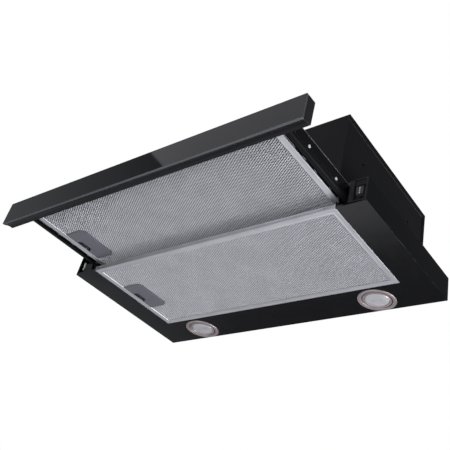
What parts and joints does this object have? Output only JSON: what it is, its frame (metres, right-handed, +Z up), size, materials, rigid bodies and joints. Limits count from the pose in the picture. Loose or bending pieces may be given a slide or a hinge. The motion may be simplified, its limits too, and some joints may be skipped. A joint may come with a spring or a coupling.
{
  "type": "pull out range hood",
  "caption": "Slim range hood for a wall cabinet: a black housing with round lamps, a pull out visor with a glass front bar, mesh grease filters, and a fan under a duct collar",
  "frame": {"origin": "On the rear face that stands against the wall, midway across the hood, level with the underside of the cabinet that the upper body stands in.", "axes": "+X to the right as seen from the front, +Y back to the wall, +Z up. The visor pulls out towards -Y."},
  "size_m": [0.6, 0.4372, 0.2145],
  "materials": {
    "black_paint": "satin black",
    "black_plastic": null,
    "grey_plastic": null,
    "zinc_steel": null,
    "motor_iron": null,
    "aluminium": null,
    "aluminium_mesh": "layers of stretched mesh",
    "dark_aluminium": "dark anodised",
    "lamp_metal": "satin",
    "frosted_lens": "frosted",
    "black_glass": "black backed",
    "black_rubber": null
  },
  "bodies": {
    "housing": {"underside_panel": "black_paint", "side_channel_left": "black_paint", "side_channel_right": "black_paint", "rear_panel": "black_paint", "upper_shell": "black_paint", "top_cover": "black_paint", "outlet_collar": "black_plastic", "scroll_casing_left": "black_plastic", "scroll_casing_right": "black_plastic", "motor_can": "zinc_steel", "motor_stator": "motor_iron", "motor_bracket": "zinc_steel", "capacitor": "aluminium", "control_box": "black_plastic", "cable_gland": "black_plastic", "led_driver": "black_plastic", "lamp_ring_left": "lamp_metal", "lamp_ring_right": "lamp_metal", "lamp_lens_left": "frosted_lens", "lamp_lens_right": "frosted_lens", "lamp_body_left": "aluminium", "lamp_body_right": "aluminium", "slide_bracket_left": "black_paint", "slide_bracket_right": "black_paint", "slide_fixed_left": "zinc_steel", "slide_fixed_right": "zinc_steel", "guide_glides": "grey_plastic", "stop_bracket": "black_paint", "housing_screws": "zinc_steel", "switch_bezel": "black_plastic", "switch_box": "black_plastic"},
    "visor": {"front_glass": "black_glass", "glass_tape": "black_rubber", "bar_profile": "dark_aluminium", "end_cap_left": "black_plastic", "end_cap_right": "black_plastic", "visor_tray": "black_paint", "filter_strip_left": "black_paint", "filter_strip_right": "black_paint", "slide_moving_left": "zinc_steel", "slide_moving_right": "zinc_steel", "arm_screws": "zinc_steel", "bar_screws": "zinc_steel"},
    "cage_left": {"ball_cage_left": "zinc_steel"},
    "cage_right": {"ball_cage_right": "zinc_steel"},
    "visor_filter": {"visor_filter_frame": "aluminium", "visor_filter_mesh": "aluminium_mesh", "visor_handle": "grey_plastic"},
    "visor_latch": {"visor_latch": "black_plastic"},
    "main_filter": {"main_filter_frame": "aluminium", "main_filter_mesh": "aluminium_mesh", "main_handle": "grey_plastic"},
    "main_latch": {"main_latch": "black_plastic"},
    "fan": {"impeller": "grey_plastic", "motor_shaft": "zinc_steel", "motor_rotor": "zinc_steel"},
    "flap_front": {"flap_front": "grey_plastic"},
    "flap_rear": {"flap_rear": "grey_plastic"},
    "light_switch": {"light_switch": "black_plastic"},
    "speed_switch": {"speed_switch": "grey_plastic"}
  },
  "joints": [
    {"name": "visor_slide", "type": "slide", "parent": "housing", "child": "visor", "axis": [0, -1, 0], "range_m": [-0.146, 0]},
    {"name": "cage_left_slide", "type": "slide", "parent": "housing", "child": "cage_left", "axis": [0, -1, 0], "range_m": [-0.073, 0]},
    {"name": "cage_right_slide", "type": "slide", "parent": "housing", "child": "cage_right", "axis": [0, -1, 0], "range_m": [-0.073, 0]},
    {"name": "main_filter_hinge", "type": "hinge", "parent": "housing", "child": "main_filter", "pos_m": [0.2485, -0.17, -0.042], "axis": [0, -1, 0], "range_deg": [0, 25]},
    {"name": "visor_filter_hinge", "type": "hinge", "parent": "visor", "child": "visor_filter", "pos_m": [0.2485, -0.318, -0.025], "axis": [0, -1, 0], "range_deg": [0, 25]},
    {"name": "main_latch_slide", "type": "slide", "parent": "main_filter", "child": "main_latch", "axis": [1, 0, 0], "range_m": [0, 0.0045], "stiffness_N_per_m": 300, "springref_m": -0.002},
    {"name": "visor_latch_slide", "type": "slide", "parent": "visor_filter", "child": "visor_latch", "axis": [1, 0, 0], "range_m": [0, 0.0045], "stiffness_N_per_m": 300, "springref_m": -0.002},
    {"name": "fan_spin", "type": "hinge", "parent": "housing", "child": "fan", "pos_m": [0, -0.1685, 0.068], "axis": [1, 0, 0], "continuous": true},
    {"name": "flap_front_hinge", "type": "hinge", "parent": "housing", "child": "flap_front", "pos_m": [0, -0.14, 0.1437], "axis": [-1, 0, 0], "range_deg": [0, 75]},
    {"name": "flap_rear_hinge", "type": "hinge", "parent": "housing", "child": "flap_rear", "pos_m": [0, -0.132, 0.1437], "axis": [1, 0, 0], "range_deg": [0, 75]},
    {"name": "light_rocker", "type": "hinge", "parent": "housing", "child": "light_switch", "pos_m": [0.2845, -0.26475, -0.007], "axis": [1, 0, 0], "range_deg": [-6, 6]},
    {"name": "speed_slide", "type": "slide", "parent": "housing", "child": "speed_switch", "axis": [0, 0, 1], "range_m": [-0.008, 0]}
  ],
  "couplings": [
    {"joint": "cage_left_slide", "follows": "visor_slide", "ratio": 0.5},
    {"joint": "cage_right_slide", "follows": "visor_slide", "ratio": 0.5},
    {"joint": "visor_filter_hinge", "follows": "main_filter_hinge", "ratio": 1}
  ]
}
